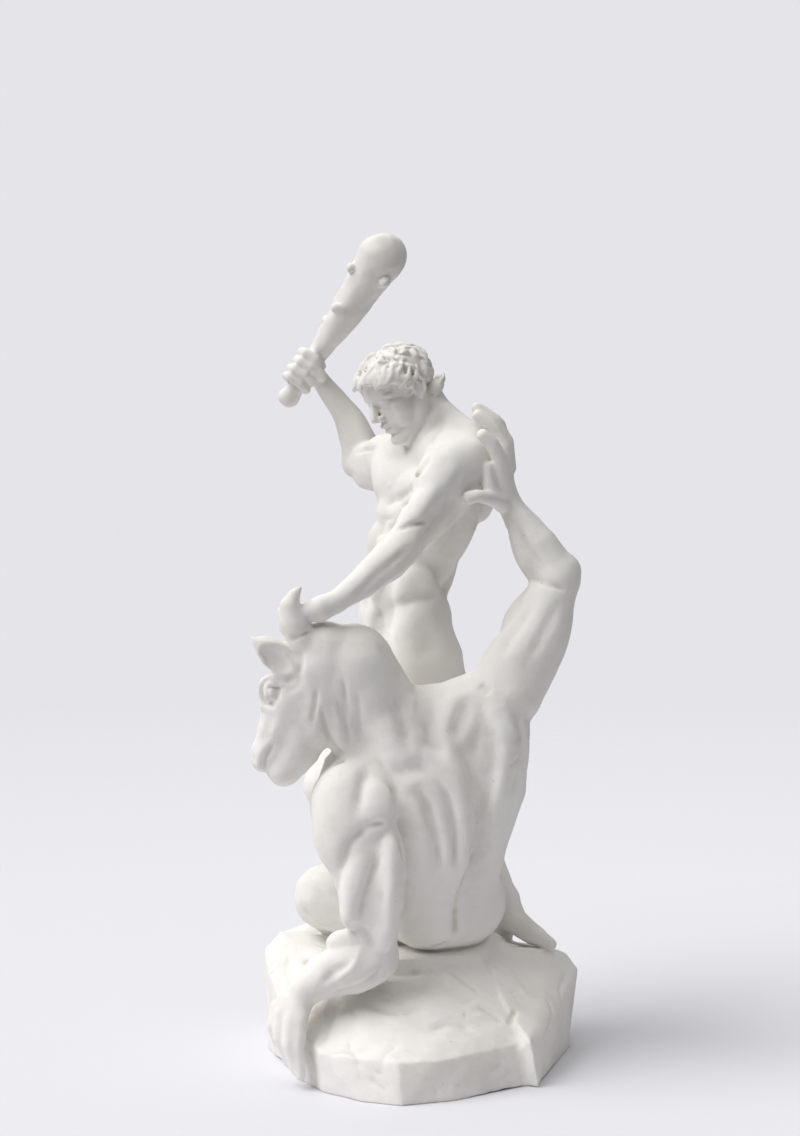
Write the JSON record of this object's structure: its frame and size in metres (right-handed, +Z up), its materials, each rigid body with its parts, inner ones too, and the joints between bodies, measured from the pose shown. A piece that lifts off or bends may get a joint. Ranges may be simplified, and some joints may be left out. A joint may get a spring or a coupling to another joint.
{
  "type": "theseus and minotaur statue",
  "caption": "White plaster statuette group: a nude hero with a raised club holds a seated, bull-headed man by the horn, both on a rough rock base.",
  "frame": {"origin": "middle of the base's flat underside, on the surface it stands on", "axes": "+Z up, +Y away from a viewer who sees the bull-man's back, +X to that viewer's right"},
  "size_m": [0.2456, 0.3062, 0.6187],
  "materials": {
    "plaster": "chalky off-white casting plaster, matt, with fine tool marks and small casting pits"
  },
  "bodies": {
    "root": {"theseus_and_minotaur": "plaster"}
  },
  "joints": []
}
